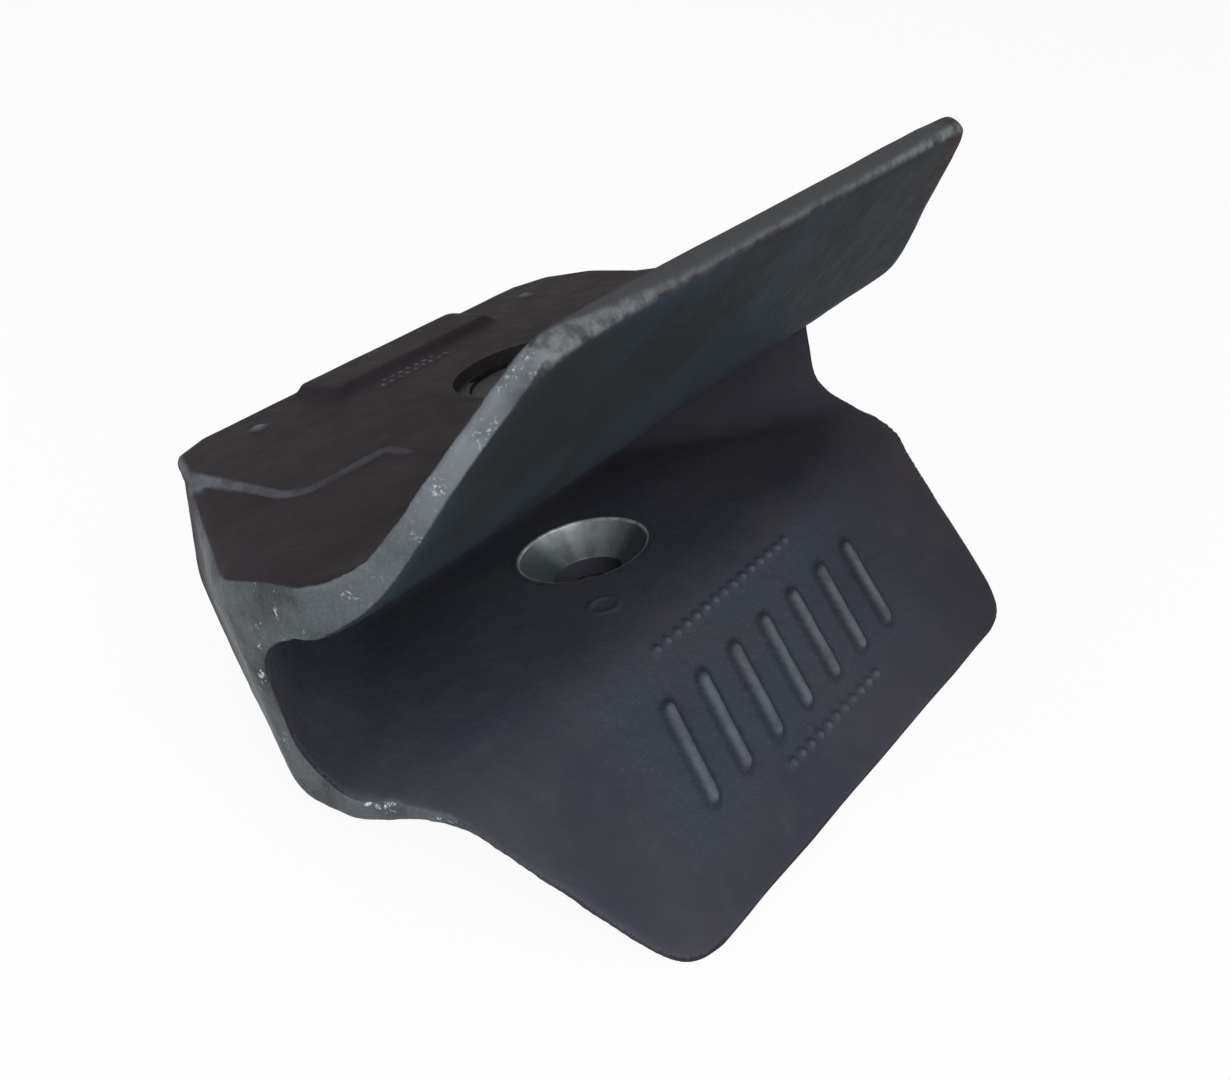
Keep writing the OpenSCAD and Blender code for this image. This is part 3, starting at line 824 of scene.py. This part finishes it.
# The lock bush and the cap are black, and are made darker still as painted shade in the recess on
# top.
finishes = {
    "upper_lock_bush": plain_finish("bush_paint_with_painted_shade",
                                    (0.008, 0.008, 0.009), (0.016, 0.015, 0.016), 0.58),
    "bush_dowel": plain_finish("ground_steel", (0.10, 0.10, 0.10), (0.18, 0.18, 0.18), 0.45, 0.7),
    "lock_cap": plain_finish("phosphated_steel_with_painted_shade", (0.012, 0.012, 0.013), (0.026, 0.026, 0.028), 0.6),
    "cap_seal": plain_finish("seal_rubber", (0.012, 0.012, 0.012), (0.02, 0.02, 0.02), 0.6),
    "press_pad": plain_finish("pad_rubber", (0.015, 0.015, 0.015), (0.03, 0.03, 0.03), 0.7),
    "socket_plug": plain_finish("plug_rubber", (0.014, 0.014, 0.014), (0.025, 0.025, 0.025), 0.65),
}
for node, finish in finishes.items():
    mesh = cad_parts[node].data
    mesh.materials.clear()
    mesh.materials.append(finish)
print("finished:", ", ".join(finishes))

# %% [markdown]
# ## Floor and light
# Put down on a floor, the shroud stands on its keel and its nose, so the floor is tilted to touch
# both and the part stays where the engineering model has it. The floor glows white for the camera,
# as a studio floor does, but less and less near the part, so that the shadow under it stays. One
# big lamp lights the mouth, a second one the near side, and a weak one keeps the back from black.

# %% Floor
def contact_plane(mesh):
    """The plane through the two lines on which the casting rests when it is put down."""
    places = vertex_places(mesh)
    heel = places[places[:, 2].argmin()]
    front = places[places[:, 0] < -0.02]
    slope = (front[:, 2] - heel[2]) / (heel[0] - front[:, 0])
    return heel, math.atan(slope.min())


heel, tilt = contact_plane(casting.data)
print("the casting rests at", round(math.degrees(tilt), 1), "degrees")
work = bmesh.new()
bmesh.ops.create_grid(work, x_segments=1, y_segments=1, size=3)
floor_mesh = bpy.data.meshes.new("floor")
work.to_mesh(floor_mesh)
work.free()
floor = show("floor", floor_mesh)
tilted = Matrix.Rotation(tilt, 4, "Y")
floor.matrix_world = Matrix.Translation((heel[0], 0, heel[2] - 0.5 * MM)) @ tilted

# %% Floor finish
def shows_background(tree):
    """1 for the rays that show the background: straight, in a reflection or through glass."""
    rays = add(tree, "LightPath").outputs
    straight = maths(tree, "MAXIMUM", rays["Is Camera Ray"], rays["Is Transmission Ray"])
    return maths(tree, "MAXIMUM", straight, rays["Is Glossy Ray"])


# There is no glow in the middle of an oval under the part, and it is full from its rim outwards.
oval_long, oval_wide, glow_share = 0.085, 0.12, 0.92
material, tree, surface = new_material("white_floor")
surface.inputs["Base Color"].default_value = (0.9, 0.9, 0.9, 1)
surface.inputs["Roughness"].default_value = 0.9
glow = add(tree, "Emission", {"Color": (1, 1, 1, 1), "Strength": 1})
shift, stretch = (heel[0] / math.cos(tilt), 0, 0), (1 / oval_long, 1 / oval_wide, 0)
under = add(tree, "VectorMath", {0: place(tree), 1: shift}, operation="ADD").outputs[0]
under = add(tree, "VectorMath", {0: under, 1: stretch}, operation="MULTIPLY").outputs[0]
under = add(tree, "VectorMath", {0: under}, operation="LENGTH").outputs["Value"]
lit = times(tree, times(tree, shows_background(tree), ramp(tree, under, 0.6, 1.0)), glow_share)
both = add(tree, "MixShader", {0: lit, 1: surface.outputs[0], 2: glow.outputs[0]})
# Seen from below, the floor is clear, so the underside of the part can be looked at too.
back = add(tree, "NewGeometry").outputs["Backfacing"]
from_below = times(tree, back, add(tree, "LightPath").outputs["Is Camera Ray"])
clear = add(tree, "BsdfTransparent")
both = add(tree, "MixShader", {0: from_below, 1: both.outputs[0], 2: clear.outputs[0]})
tree.links.new(both.outputs[0], tree.nodes["Material Output"].inputs["Surface"])
floor_mesh.materials.append(material)
print("floor finished")

# %% World
world = bpy.data.worlds.new("studio")
bpy.context.scene.world = world
world.use_nodes = True
tree = world.node_tree
tree.nodes.clear()
white = add(tree, "Background", {"Color": (1, 1, 1, 1), "Strength": 1})
soft = add(tree, "Background", {"Color": (0.95, 0.97, 1, 1), "Strength": 0.35})
both = add(tree, "MixShader", {0: shows_background(tree), 1: soft.outputs[0], 2: white.outputs[0]})
add(tree, "OutputWorld", {"Surface": both.outputs[0]})
print("light from all round:", round(soft.inputs["Strength"].default_value, 2))

# %% Lamps
def lamp(name, spot, size, power):
    """A square lamp that looks at the middle of the part."""
    light = bpy.data.lights.new(name, "AREA")
    light.size = size
    light.energy = power
    holder = bpy.data.objects.new(name, light)
    bpy.context.scene.collection.objects.link(holder)
    holder.location = spot
    holder.rotation_euler = (-Vector(spot)).to_track_quat("-Z", "Y").to_euler()


lamp("key", (1.4, -0.6, 0.6), size=1.2, power=20)
lamp("fill", (-0.25, -1.2, 0.65), size=0.8, power=6)
lamp("back", (-0.9, 0.6, 0.9), size=0.9, power=1.4)

bpy.context.scene.view_settings.view_transform = "Standard"
